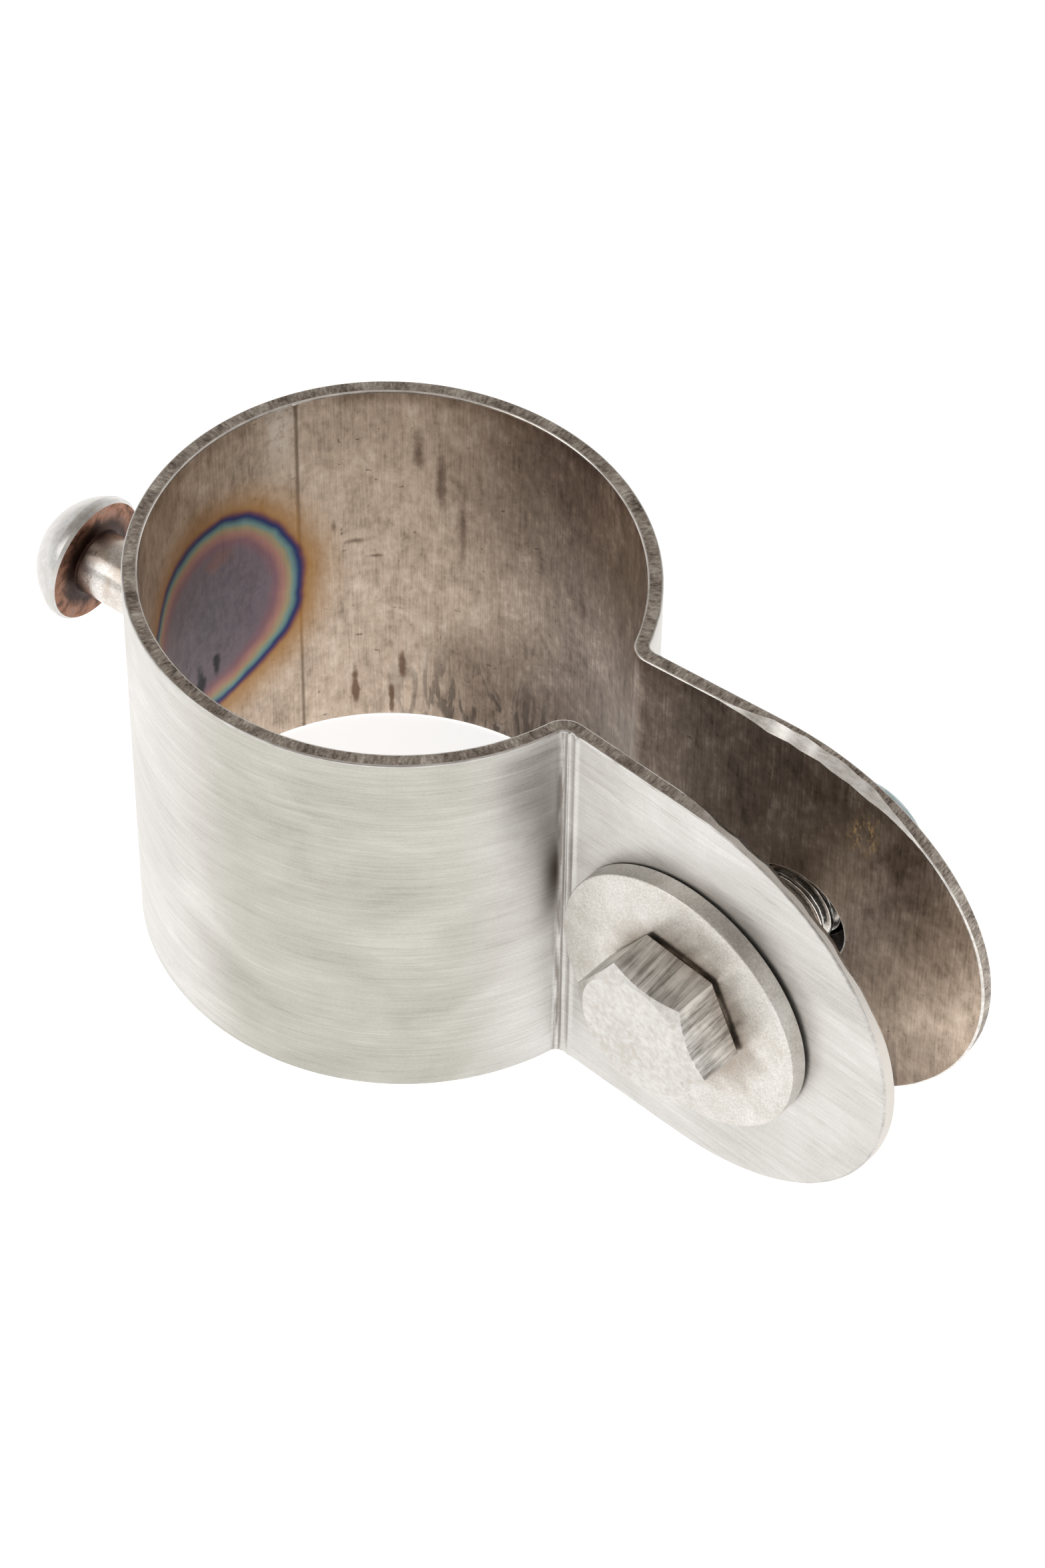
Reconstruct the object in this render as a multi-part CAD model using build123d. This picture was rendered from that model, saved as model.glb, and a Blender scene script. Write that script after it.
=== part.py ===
"""Two-eared pipe clamp for a 60.3 mm pipe, bent from one stainless strip.

Frame: the origin is on the pipe axis in the plane of the strip's lower edge. Z runs along the
pipe, X from the pipe axis towards the ears, and Y across the gap, from the bolt's head to its nut.
All sizes are in millimetres and all angles in degrees.
"""
from build123d import *
from math import asin, cos, degrees, radians, sin, tan
import os

# Strip
STRIP_WIDTH = 60.0
STRIP_THICKNESS = 2.0
HALF_THICKNESS = STRIP_THICKNESS / 2

# Hoop: a back arc that seats on the pipe, and flatter sides that run on to the necks
PIPE_RADIUS = 30.15
SEAT_CLEARANCE = 0.05
SEAT_RADIUS = PIPE_RADIUS + SEAT_CLEARANCE
BACK_RADIUS = SEAT_RADIUS + HALF_THICKNESS
BACK_END_ANGLE = 118.0
SIDE_RADIUS = 33.5
FLEX_ANGLE = 150.0
FLEX_GAP = 0.15

# Necks and ears
NECK_RADIUS = 2.4
NECK_HALF_GAP = 7.4
FRONT_EAR_ANGLE = 4.5
REAR_EAR_ANGLE = 2.0
EAR_TIP_X = 85.5
EAR_END_LENGTH = 31.2
HOLE_DIAMETER = 15.0
FRONT_HOLE_X = 55.5
REAR_HOLE_X = 57.9
HOLE_Z = 29.3

# M12 x 40 hexagon head bolt with its axis leaning in the oversize holes
BOLT_X = 56.0
BOLT_Z = 28.9
BOLT_LEAN = 5.0
BOLT_DIAMETER = 11.85
BOLT_LENGTH = 40.0
BOLT_TIP_CHAMFER = 1.2
HEX_ACROSS_FLATS = 18.0
HEAD_HEIGHT = 7.5
HEAD_TURN = 3.7

# Wide washers, 37 x 13 x 2.5
WASHER_DIAMETER = 37.0
WASHER_HOLE = 13.0
WASHER_THICKNESS = 2.5
WASHER_EDGE = 0.25

# M12 lock nut with a nylon ring under its rolled crown
NUT_HEIGHT = 12.0
NUT_HEX_HEIGHT = 8.8
NUT_BORE = 12.05
CROWN_RADIUS = 8.4
CROWN_ROUND = 2.0
CROWN_LIP_RADIUS = 7.1
CROWN_LIP_THICKNESS = 0.7
INSERT_RADIUS = 7.8
INSERT_THICKNESS = 2.6

# Hexagon corners, taken off by a 30 degree cone that starts inside the flats
CORNER_CONE_ANGLE = 30.0
CORNER_CONE_START = 0.95 * HEX_ACROSS_FLATS / 2

# Welded button-head stud at the back of the hoop
STUD_Z = 30.0
SHANK_RADIUS = 4.4
SHANK_LENGTH = 16.0
STUD_HEAD_RADIUS = 8.7
STUD_HEAD_HEIGHT = 7.3
STUD_HEAD_LAND = 1.3
STUD_UNDERCUT = 0.4
WELD_LEG = 1.8

# Clearances
FACE_GAP = 0.05
CONTACT_GAP = 0.08

EAR_LENGTH = 70.0
THROUGH = 100.0


def direction(angle):
    """Unit vector in the XY plane at an angle from +X."""
    return Vector(cos(radians(angle)), sin(radians(angle)))


def side_centre():
    """Centre of the side arc, on the line where it meets the back arc."""
    return -(SIDE_RADIUS - BACK_RADIUS) * direction(BACK_END_ANGLE)


def neck_angle(ear_angle):
    """Angle at which the side arc ends and the neck bend starts."""
    centre_y = NECK_HALF_GAP + NECK_RADIUS * cos(radians(ear_angle))
    return degrees(asin((centre_y - side_centre().Y) / (SIDE_RADIUS + NECK_RADIUS)))


def neck_centre(ear_angle):
    """Centre of the bend between the hoop and an ear on the +Y side."""
    return side_centre() + (SIDE_RADIUS + NECK_RADIUS) * direction(neck_angle(ear_angle))


def ear_start(ear_angle, offset):
    """Where the ear becomes straight, at an offset outwards from the strip's middle."""
    return neck_centre(ear_angle) + (NECK_RADIUS - offset) * direction(ear_angle - 90)


def strip_side(ear_angle, start_angle, offset):
    """One long side of the strip's section on the +Y side, from the back of the hoop to the ear."""
    turn = neck_angle(ear_angle)
    start = ear_start(ear_angle, offset)
    return [
        CenterArc((0, 0), BACK_RADIUS + offset, start_angle, BACK_END_ANGLE - start_angle),
        CenterArc(side_centre(), SIDE_RADIUS + offset, BACK_END_ANGLE, turn - BACK_END_ANGLE),
        CenterArc(neck_centre(ear_angle), NECK_RADIUS - offset, turn + 180, 90 + ear_angle - turn),
        Line(start, start + EAR_LENGTH * direction(ear_angle)),
    ]


def strip_half(ear_angle, start_angle):
    """Bent strip on the +Y side, still with a square ear and no hole."""
    outer = strip_side(ear_angle, start_angle, HALF_THICKNESS)
    inner = strip_side(ear_angle, start_angle, -HALF_THICKNESS)
    ends = [Line(outer[0] @ 0, inner[0] @ 0), Line(outer[-1] @ 1, inner[-1] @ 1)]
    return extrude(make_face(outer + inner + ends), STRIP_WIDTH)


def ear_outline():
    """Block with the side view of the strip: straight edges that end in a half ellipse."""
    middle = STRIP_WIDTH / 2
    centre_x = EAR_TIP_X - EAR_END_LENGTH
    body = Plane.XZ * Pos(centre_x - THROUGH / 2, middle) * Rectangle(THROUGH, STRIP_WIDTH)
    end = Plane.XZ * Pos(centre_x, middle) * Ellipse(EAR_END_LENGTH, middle)
    return extrude(body + end, THROUGH, both=True)


def ear_y(ear_angle, x, offset=0.0):
    """Distance of an ear's middle surface from the XZ plane, at an offset outwards."""
    start = ear_start(ear_angle, offset)
    return start.Y + (x - start.X) * tan(radians(ear_angle))


def ear_hole(ear_angle, x):
    """Round hole punched square through the ear on the +Y side."""
    normal = direction(ear_angle + 90)
    centre = Plane(origin=(x, ear_y(ear_angle, x), HOLE_Z), z_dir=(normal.X, normal.Y, 0))
    return centre * Cylinder(HOLE_DIAMETER / 2, WASHER_DIAMETER / 2)


def ear_half(ear_angle, start_angle, hole_x):
    """Bent strip with its rounded and drilled ear, on the +Y side."""
    return (strip_half(ear_angle, start_angle) & ear_outline()) - ear_hole(ear_angle, hole_x)


def band_rear():
    """Half of the strip with the nut's ear, from the flex line onwards."""
    gap_angle = degrees(FLEX_GAP / BACK_RADIUS)
    return ear_half(REAR_EAR_ANGLE, FLEX_ANGLE - gap_angle, REAR_HOLE_X)


def band_front():
    """Half of the strip with the bolt head's ear, round the back of the hoop to the flex line."""
    return mirror(ear_half(FRONT_EAR_ANGLE, 360 - FLEX_ANGLE, FRONT_HOLE_X), Plane.XZ)


def bolt_direction():
    """Unit vector along the bolt, from its head to its tip."""
    return Vector(sin(radians(BOLT_LEAN)), cos(radians(BOLT_LEAN)), 0)


def bolt_plane(distance):
    """Plane square to the bolt, at a distance along it from the middle of the gap."""
    origin = Vector(BOLT_X, 0, BOLT_Z) + distance * bolt_direction()
    return Plane(origin=origin, x_dir=(0, 0, 1), z_dir=bolt_direction())


def ear_crossing(side, ear_angle):
    """Distance along the bolt at which its axis leaves the outer face of an ear."""
    slope = tan(radians(ear_angle))
    face_y = ear_y(ear_angle, BOLT_X, HALF_THICKNESS)
    along = bolt_direction()
    return side * face_y / (along.Y - side * slope * along.X)


def washer_stand_off(relative_angle):
    """How far a washer's middle stays off an ear that it only touches with its rim."""
    return WASHER_DIAMETER / 2 * tan(radians(relative_angle)) + CONTACT_GAP


def front_washer_face():
    """Distance along the bolt of the face that the front washer turns to the ear."""
    stand_off = washer_stand_off(BOLT_LEAN - FRONT_EAR_ANGLE)
    return ear_crossing(-1, FRONT_EAR_ANGLE) - stand_off


def rear_washer_face():
    """Distance along the bolt of the face that the rear washer turns to the ear."""
    stand_off = washer_stand_off(BOLT_LEAN + REAR_EAR_ANGLE)
    return ear_crossing(1, REAR_EAR_ANGLE) + stand_off


def head_face():
    """Distance along the bolt of the underside of its head."""
    return front_washer_face() - WASHER_THICKNESS - FACE_GAP


def nut_face():
    """Distance along the bolt of the nut's bearing face."""
    return rear_washer_face() + WASHER_THICKNESS + FACE_GAP


def washer(distance):
    """Wide flat washer with its lower face at a distance along the bolt."""
    disc = Pos(0, 0, WASHER_THICKNESS / 2) * Cylinder(WASHER_DIAMETER / 2, WASHER_THICKNESS)
    disc = chamfer(disc.edges(), WASHER_EDGE)
    hole = Cylinder(WASHER_HOLE / 2, THROUGH)
    return bolt_plane(distance) * (disc - hole)


def corner_cone(height):
    """Revolved envelope that takes the corners off the upper end of a hexagon."""
    reach = HEX_ACROSS_FLATS
    drop = (reach - CORNER_CONE_START) * tan(radians(CORNER_CONE_ANGLE))
    section = Polyline((0, 0), (reach, 0), (reach, height - drop), (CORNER_CONE_START, height),
                       (0, height), close=True)
    return revolve(Plane.XZ * make_face(section), Axis.Z)


def hexagon(height):
    """Hexagonal prism with two flats square to the pipe axis and its upper corners taken off."""
    outline = RegularPolygon(HEX_ACROSS_FLATS / 2, 6, major_radius=False, rotation=30)
    return extrude(outline, height) & corner_cone(height)


def hex_bolt():
    """Bolt with its shank as a plain cylinder of the thread's outside diameter."""
    shank = Pos(0, 0, BOLT_LENGTH / 2) * Cylinder(BOLT_DIAMETER / 2, BOLT_LENGTH)
    shank = chamfer(shank.edges().sort_by(Axis.Z)[-1], BOLT_TIP_CHAMFER)
    head = Rot(180, 0, 0) * hexagon(HEAD_HEIGHT)
    return bolt_plane(head_face()) * Rot(0, 0, HEAD_TURN) * (shank + head)


def nut_crown():
    """Round crown of the nut, above its hexagon."""
    crown = Pos(0, 0, NUT_HEIGHT / 2) * Cylinder(CROWN_RADIUS, NUT_HEIGHT)
    return fillet(crown.edges().sort_by(Axis.Z)[-1], CROWN_ROUND)


def lock_nut():
    """Nut body: hexagon, crown and the recess that holds the nylon ring."""
    seat = NUT_HEIGHT - CROWN_LIP_THICKNESS - INSERT_THICKNESS
    recess = Pos(0, 0, seat + INSERT_THICKNESS / 2) * Cylinder(INSERT_RADIUS, INSERT_THICKNESS)
    mouth = Pos(0, 0, NUT_HEIGHT) * Cylinder(CROWN_LIP_RADIUS, NUT_HEIGHT - seat)
    bore = Cylinder(NUT_BORE / 2, THROUGH)
    return bolt_plane(nut_face()) * (hexagon(NUT_HEX_HEIGHT) + nut_crown() - recess - mouth - bore)


def nut_insert():
    """Nylon ring that fills the recess under the crown's lip."""
    middle = NUT_HEIGHT - CROWN_LIP_THICKNESS - INSERT_THICKNESS / 2
    ring = Cylinder(INSERT_RADIUS, INSERT_THICKNESS) - Cylinder(NUT_BORE / 2, THROUGH)
    return bolt_plane(nut_face()) * Pos(0, 0, middle) * ring


def stud_plane():
    """Plane square to the stud, on the pipe axis, facing away from the ears."""
    return Plane(origin=(0, 0, STUD_Z), x_dir=(0, 1, 0), z_dir=(-1, 0, 0))


def hoop_core():
    """Cylinder that fills the hoop out to the strip's outer face."""
    radius = BACK_RADIUS + HALF_THICKNESS
    return Pos(0, 0, STRIP_WIDTH / 2) * Cylinder(radius, STRIP_WIDTH)


def mounting_stud():
    """Shank welded to the hoop, and its button head with a flat underside and a round dome."""
    under = BACK_RADIUS + HALF_THICKNESS + SHANK_LENGTH
    land = under + STUD_HEAD_LAND
    top = under + STUD_HEAD_HEIGHT
    rise = top - land
    dome_radius = (STUD_HEAD_RADIUS ** 2 + rise ** 2) / (2 * rise)
    start_angle = degrees(asin((dome_radius - rise) / dome_radius))
    dome = CenterArc((0, top - dome_radius), dome_radius, start_angle, 90 - start_angle)
    side = Polyline((0, top), (0, 0), (SHANK_RADIUS, 0), (SHANK_RADIUS, under),
                    (STUD_HEAD_RADIUS - STUD_UNDERCUT, under),
                    (STUD_HEAD_RADIUS, under + STUD_UNDERCUT), (STUD_HEAD_RADIUS, land))
    section = make_face([dome] + list(side.edges()))
    return stud_plane() * revolve(Plane.XZ * section, Axis.Z) - hoop_core()


def stud_weld():
    """Fillet weld round the foot of the stud."""
    foot = BACK_RADIUS + HALF_THICKNESS
    toe = SHANK_RADIUS + WELD_LEG
    section = Polyline((SHANK_RADIUS, foot - WELD_LEG), (toe, foot - WELD_LEG), (toe, foot),
                       (SHANK_RADIUS, foot + WELD_LEG), close=True)
    ring = revolve(Plane.XZ * make_face(section), Axis.Z)
    return stud_plane() * ring - hoop_core()


def parts():
    """Every piece of the clamp under the name of its node."""
    return {
        "band_front": band_front(),
        "band_rear": band_rear(),
        "mounting_stud": mounting_stud(),
        "stud_weld": stud_weld(),
        "hex_bolt": hex_bolt(),
        "front_washer": washer(front_washer_face() - WASHER_THICKNESS),
        "rear_washer": washer(rear_washer_face()),
        "lock_nut": lock_nut(),
        "nut_insert": nut_insert(),
    }


def main():
    os.makedirs("parts", exist_ok=True)
    for name, solid in parts().items():
        export_step(solid, f"parts/{name}.step")


if __name__ == "__main__":
    main()
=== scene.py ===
"""Looks of a stainless pipe clamp: one bent strip with two ears, a bolt with wide washers and a
lock nut, and a button-head stud welded to the back of the hoop.

Lengths are in millimetres and angles in degrees, until mesh_piece() turns them into metres. The
strip's outline repeats the CAD part's: back arc, side arc, neck bend and straight ear.
"""
from math import acos, asin, ceil, cos, degrees, pi, radians, sin, sqrt, tan
import bpy
from mathutils import Matrix, Vector
from mathutils.geometry import delaunay_2d_cdt


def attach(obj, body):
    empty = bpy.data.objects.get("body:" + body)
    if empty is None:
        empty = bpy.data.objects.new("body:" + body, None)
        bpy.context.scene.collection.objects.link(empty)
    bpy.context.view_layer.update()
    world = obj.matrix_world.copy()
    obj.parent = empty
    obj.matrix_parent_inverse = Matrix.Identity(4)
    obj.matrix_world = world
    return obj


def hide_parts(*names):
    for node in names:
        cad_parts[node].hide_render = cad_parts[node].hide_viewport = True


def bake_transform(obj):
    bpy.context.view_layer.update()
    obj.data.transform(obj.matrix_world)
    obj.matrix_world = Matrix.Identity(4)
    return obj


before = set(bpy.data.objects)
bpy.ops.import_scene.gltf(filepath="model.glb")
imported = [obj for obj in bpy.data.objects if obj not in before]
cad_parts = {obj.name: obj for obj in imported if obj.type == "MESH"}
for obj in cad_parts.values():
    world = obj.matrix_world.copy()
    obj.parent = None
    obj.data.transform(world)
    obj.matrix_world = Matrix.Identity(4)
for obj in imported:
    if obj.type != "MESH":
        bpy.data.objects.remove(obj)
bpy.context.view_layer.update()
MM = 0.001

# Camera
CAMERA_AZIMUTH = -36.85
CAMERA_ELEVATION = 48.06
CAMERA_ROLL = 0.897
CAMERA_DISTANCE = 659.6
CAMERA_AIM = (21.59, 0.0, 34.38)
CAMERA_LENS = 121.99
SENSOR_WIDTH = 36.0

# Strip
STRIP_WIDTH = 60.0
HALF_WIDTH = STRIP_WIDTH / 2
HALF_THICKNESS = 1.0
BACK_RADIUS = 31.2
OUTER_RADIUS = BACK_RADIUS + HALF_THICKNESS
BACK_END_ANGLE = 118.0
SIDE_RADIUS = 33.5
NECK_RADIUS = 2.4
NECK_HALF_GAP = 7.4
FRONT_EAR_ANGLE = 4.5
REAR_EAR_ANGLE = 2.0
EAR_TIP_X = 85.42
EAR_END_LENGTH = 31.2
HOLE_RADIUS = 7.5
HOLE_Z = 29.3
FRONT_HOLE_X = 55.5
REAR_HOLE_X = 57.9
SEAM_ANGLE = 172.0
EDGE_ROUND = 0.28

# Bolt, washers and nut
BOLT_X = 56.0
BOLT_Z = 28.9
BOLT_LEAN = 5.0
THREAD_RADIUS = 5.925
THREAD_DEPTH = 0.98
THREAD_PITCH = 1.75
BOLT_LENGTH = 40.0
TIP_CHAMFER = 1.2
HEX_APOTHEM = 9.0
HEAD_HEIGHT = 7.5
HEAD_TURN = 3.7
CORNER_CONE_START = 0.95 * HEX_APOTHEM
CORNER_SLOPE = tan(radians(30))
BEARING_RADIUS = 8.3
WASHER_RADIUS = 18.5
WASHER_HOLE = 6.5
WASHER_THICKNESS = 2.5
NUT_HEX_HEIGHT = 8.8
NUT_BORE = 6.025
CROWN_RADIUS = 8.4
CROWN_ROUND = 2.0
NUT_HEIGHT = 12.0
LIP_RADIUS = 7.1
LIP_THICKNESS = 0.7
INSERT_RADIUS = 7.8
INSERT_THICKNESS = 2.6
FACE_GAP = 0.05
CONTACT_GAP = 0.08

# Stud
STUD_Z = 30.0
SHANK_RADIUS = 4.4
SHANK_LENGTH = 16.0
STUD_HEAD_RADIUS = 8.7
STUD_HEAD_HEIGHT = 7.3
STUD_HEAD_LAND = 1.3
STUD_UNDERCUT = 0.4
WELD_LEG = 1.75

AROUND = 96


# ---------------------------------------------------------------- strip outline

def unit(angle):
    return Vector((cos(radians(angle)), sin(radians(angle))))


def smooth(low, high, value):
    """0 below low, 1 above high, with a smooth step between them."""
    share = min(1.0, max(0.0, (value - low) / (high - low)))
    return share * share * (3 - 2 * share)


def hump(middle, half_width, value):
    """1 at the middle, falling smoothly to 0 at half_width from it."""
    return 1 - smooth(0, half_width, abs(value - middle))


class Half:
    """One half of the strip, from the back of the hoop (length 0) to its ear.

    side is +1 for the nut's half and -1 for the bolt head's half, which is its mirror image.
    """

    def __init__(self, side, ear_angle, hole_x):
        self.side = side
        self.ear_angle = ear_angle
        self.side_centre = -(SIDE_RADIUS - BACK_RADIUS) * unit(BACK_END_ANGLE)
        rise = NECK_HALF_GAP + NECK_RADIUS * cos(radians(ear_angle)) - self.side_centre.y
        self.turn = degrees(asin(rise / (SIDE_RADIUS + NECK_RADIUS)))
        self.neck_centre = self.side_centre + (SIDE_RADIUS + NECK_RADIUS) * unit(self.turn)
        self.back_end = BACK_RADIUS * radians(180 - BACK_END_ANGLE)
        self.side_end = self.back_end + SIDE_RADIUS * radians(BACK_END_ANGLE - self.turn)
        self.neck_end = self.side_end + NECK_RADIUS * radians(90 + ear_angle - self.turn)
        self.ear_start = self.neck_centre + NECK_RADIUS * unit(ear_angle - 90)
        self.hole = Vector((self.length_at(hole_x), HOLE_Z))
        self.tip = self.length_at(EAR_TIP_X)
        self.seam = -self.side * BACK_RADIUS * radians(SEAM_ANGLE - 180)

    def length_at(self, x):
        """Length along the strip at which the ear's middle reaches x."""
        return self.neck_end + (x - self.ear_start.x) / cos(radians(self.ear_angle))

    def place(self, length, z, offset):
        """Point of the bent strip at a length along it, a height and an offset outwards."""
        if length < self.back_end:
            point = (BACK_RADIUS + offset) * unit(180 - degrees(length / BACK_RADIUS))
        elif length < self.side_end:
            angle = BACK_END_ANGLE - degrees((length - self.back_end) / SIDE_RADIUS)
            point = self.side_centre + (SIDE_RADIUS + offset) * unit(angle)
        elif length < self.neck_end:
            angle = self.turn + 180 + degrees((length - self.side_end) / NECK_RADIUS)
            point = self.neck_centre + (NECK_RADIUS - offset) * unit(angle)
        else:
            ear = (length - self.neck_end) * unit(self.ear_angle)
            point = self.ear_start + ear + offset * unit(self.ear_angle + 90)
        return Vector((point.x, self.side * point.y, z))

    def columns(self):
        """Lengths at which the sheet is divided, closer where it bends or carries a mark."""
        marks = [self.seam, self.back_end, self.side_end, self.neck_end,
                 self.tip - EAR_END_LENGTH / cos(radians(self.ear_angle))]
        steps = [SHEET_STEP, SHEET_STEP, NECK_STEP, EAR_STEP]
        found = [self.seam + step for step in SEAM_STEPS]
        for start, end, step in zip(marks, marks[1:], steps):
            count = ceil((end - start) / step)
            found += [start + (end - start) * i / count for i in range(count + 1)]
        if self.side > 0:
            found += fine_steps(PRESS_LINE, PRESS_LINE_WIDTH)
        for ridge in ridges(self):
            found += fine_steps(ridge, RIDGE_WIDTH)
        found = sorted(set(round(x, 3) for x in found))
        return [a for a, b in zip(found, found[1:] + [1e9]) if b - a > SAME_COLUMN]


SHEET_STEP = 0.8
NECK_STEP = 0.2
EAR_STEP = 1.6
SEAM_STEPS = (0.1, 0.25, 0.5)
SAME_COLUMN = 0.03
PRESS_LINE = BACK_RADIUS * radians(180 - 150.5)
PRESS_LINE_WIDTH = 0.5
PRESS_LINE_DEPTH = 0.07
RIDGE_WIDTH = 0.55
RIDGE_HEIGHT = 0.16
RIDGE_SPACING = 1.5


def fine_steps(middle, width, count=10):
    return [middle + width * (2 * i / count - 1) for i in range(count + 1)]


def ridges(half):
    """Lengths of the two beads that the press left on the outside of a neck."""
    return [half.neck_end - RIDGE_SPACING / 2, half.neck_end + RIDGE_SPACING / 2]


def surface_relief(half, length, outer):
    """Height of the press marks above the sheet's plain surface."""
    if outer:
        return sum(RIDGE_HEIGHT * hump(ridge, RIDGE_WIDTH, length) for ridge in ridges(half))
    if half.side > 0:
        return -PRESS_LINE_DEPTH * hump(PRESS_LINE, PRESS_LINE_WIDTH, length)
    return 0.0


def ground_facet(half, length, top):
    """Extra width of the facet ground on the inner upper edge of an ear."""
    if not top:
        return 0.0
    start, end = (half.length_at(x) for x in FACET_RUN[half.side])
    run = smooth(start, start + 7, length) * (1 - smooth(end - 9, end, length))
    return FACET_WIDTH * run * (1 + 0.15 * sin(length * 1.3))


FACET_RUN = {1: (47.0, 74.0), -1: (52.0, 86.0)}
FACET_WIDTH = 0.9
FACET_SLOPE = 0.95


# ---------------------------------------------------------------- mesh helpers

def mesh_piece(name, points, faces, materials, face_materials=None, sharp=28.0):
    """Mesh object from points in millimetres."""
    mesh = bpy.data.meshes.new(name)
    mesh.from_pydata([tuple(Vector(p) * MM) for p in points], [], faces)
    for material in materials:
        mesh.materials.append(material)
    if face_materials:
        mesh.polygons.foreach_set("material_index", face_materials)
    mesh.shade_smooth()
    mesh.set_sharp_from_angle(angle=radians(sharp))
    mesh.validate()
    piece = bpy.data.objects.new(name, mesh)
    bpy.context.scene.collection.objects.link(piece)
    return piece


def edge_profile(inset, drop, straight):
    """(distance in from the rim, distance below the face) from the face round to the rim."""
    steps = 3
    if straight:
        return [(inset * (1 - i / steps), drop * i / steps) for i in range(steps + 1)]
    turns = [pi / 2 * i / steps for i in range(steps + 1)]
    return [(inset * (1 - sin(a)), drop * (1 - cos(a))) for a in turns]


class Sheet:
    """Bent sheet built from its flat outline: rounded rims, two faces and a seam face."""

    def __init__(self, half):
        self.half = half
        self.points = []
        self.flat = []
        self.faces = []
        self.kinds = []

    def add(self, length, z, offset):
        self.points.append(self.half.place(length, z, offset))
        self.flat.append((self.half.side * length, z, offset))
        return len(self.points) - 1

    def face(self, corners, kind):
        self.faces.append(corners if self.half.side > 0 else corners[::-1])
        self.kinds.append(kind)

    def rim_points(self):
        """(length, z, inward direction, on the upper edge) along the rim, seam to seam."""
        half = self.half
        start = half.tip - EAR_END_LENGTH / cos(radians(half.ear_angle))
        reach = half.tip - start
        straight = [c for c in half.columns() if c <= start + SAME_COLUMN]
        found = [(c, 0.0, Vector((0, 1)), False) for c in straight]
        count = 64
        for i in range(1, count):
            angle = -pi / 2 + pi * i / count
            out = Vector((cos(angle) / reach, sin(angle) / HALF_WIDTH)).normalized()
            place = (start + reach * cos(angle), HALF_WIDTH * (1 + sin(angle)))
            found.append((*place, -out, angle > 0))
        return found + [(c, STRIP_WIDTH, Vector((0, -1)), True) for c in reversed(straight)]

    def hole_points(self):
        count = 72
        found = []
        for i in range(count):
            out = unit(360 * i / count)
            place = self.half.hole + HOLE_RADIUS * out
            found.append((place.x, place.y, out, False))
        return found

    def loops(self, rim, is_hole):
        """Loops of vertices from the outer face, over the rim, to the inner face."""
        rows = []
        for length, z, inward, top in rim:
            extra = 0 if is_hole else ground_facet(self.half, length, top)
            outer = edge_profile(EDGE_ROUND, EDGE_ROUND, False)
            drop = EDGE_ROUND + FACET_SLOPE * extra
            inner = edge_profile(EDGE_ROUND + extra, drop, extra > 0.02)
            row = []
            for inset, depth in outer:
                height = HALF_THICKNESS - depth + self.relief(length, inset, True)
                row.append(self.add(length + inset * inward.x, z + inset * inward.y, height))
            for inset, depth in reversed(inner):
                height = depth - HALF_THICKNESS + self.relief(length, inset, False)
                row.append(self.add(length + inset * inward.x, z + inset * inward.y, height))
            rows.append(row)
        return rows

    def relief(self, length, inset, outer):
        """Press marks fade out over the rounded edge."""
        return surface_relief(self.half, length, outer) * min(1, inset / EDGE_ROUND)

    def walls(self, rows, closed, flip):
        """Faces of the rim between neighbouring rows of the loops."""
        last = len(rows[0]) - 1
        following = rows[1:] + ([rows[0]] if closed else [])
        for row, after in zip(rows, following):
            for k in range(last):
                quad = [row[k], row[k + 1], after[k + 1], after[k]]
                if k < 3:
                    kind = OUTER_BEVEL
                elif k == 3:
                    kind = RIM
                else:
                    kind = INNER_BEVEL
                self.face(quad if flip else quad[::-1], kind)

    def cap(self, rim_loop, hole_loop, offset, kind, flip):
        """One broad face, triangulated with the sheet's columns inside it."""
        half = self.half
        known = rim_loop + hole_loop
        flat = [Vector((half.side * self.flat[i][0], self.flat[i][1])) for i in known]
        edges = [(i, i + 1) for i in range(len(rim_loop) - 1)] + [(len(rim_loop) - 1, 0)]
        first = len(rim_loop)
        edges += [(first + i, first + (i + 1) % len(hole_loop)) for i in range(len(hole_loop))]
        for column in half.columns()[1:]:
            for row in range(1, GRID_ROWS):
                point = Vector((column, STRIP_WIDTH * row / GRID_ROWS))
                if self.inside(point):
                    flat.append(point)
        made = delaunay_2d_cdt(flat, edges, [], 1, 1e-5)
        index = []
        for place, origin in zip(made[0], made[3]):
            if origin and origin[0] < len(known):
                index.append(known[origin[0]])
            else:
                relief = surface_relief(half, place.x, offset > 0)
                index.append(self.add(place.x, place.y, offset + relief))
        inside_hole = set(hole_loop)
        for triangle in made[2]:
            corners = [index[i] for i in triangle]
            if not inside_hole.issuperset(corners):
                self.face(corners[::-1] if flip else corners, kind)

    def inside(self, point):
        """Clear of the rim, the ground facet and the hole."""
        half = self.half
        clearance = EDGE_ROUND + FACET_WIDTH * 1.3 + 0.5
        if (point - half.hole).length < HOLE_RADIUS + EDGE_ROUND + 0.6:
            return False
        start = half.tip - EAR_END_LENGTH / cos(radians(half.ear_angle))
        reach = half.tip - start
        along = max(0.0, point.x - start) / (reach - clearance)
        across = (point.y - HALF_WIDTH) / (HALF_WIDTH - clearance)
        return along * along + across * across < 1

    def build(self, name, materials):
        rim = self.loops(self.rim_points(), False)
        hole = self.loops(self.hole_points(), True)
        self.walls(rim, False, False)
        self.walls(hole, True, True)
        self.cap([r[0] for r in rim], [r[0] for r in hole], HALF_THICKNESS, OUTER, True)
        self.cap([r[-1] for r in rim], [r[-1] for r in hole], -HALF_THICKNESS, INNER, False)
        self.face(rim[0] + rim[-1][::-1], RIM)
        piece = mesh_piece(name, self.points, self.faces, materials, self.kinds)
        flat = piece.data.attributes.new("flat", "FLOAT_VECTOR", "POINT")
        flat.data.foreach_set("vector", [x for point in self.flat for x in point])
        return piece


GRID_ROWS = 24
OUTER, INNER, RIM, OUTER_BEVEL, INNER_BEVEL = range(5)


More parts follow.
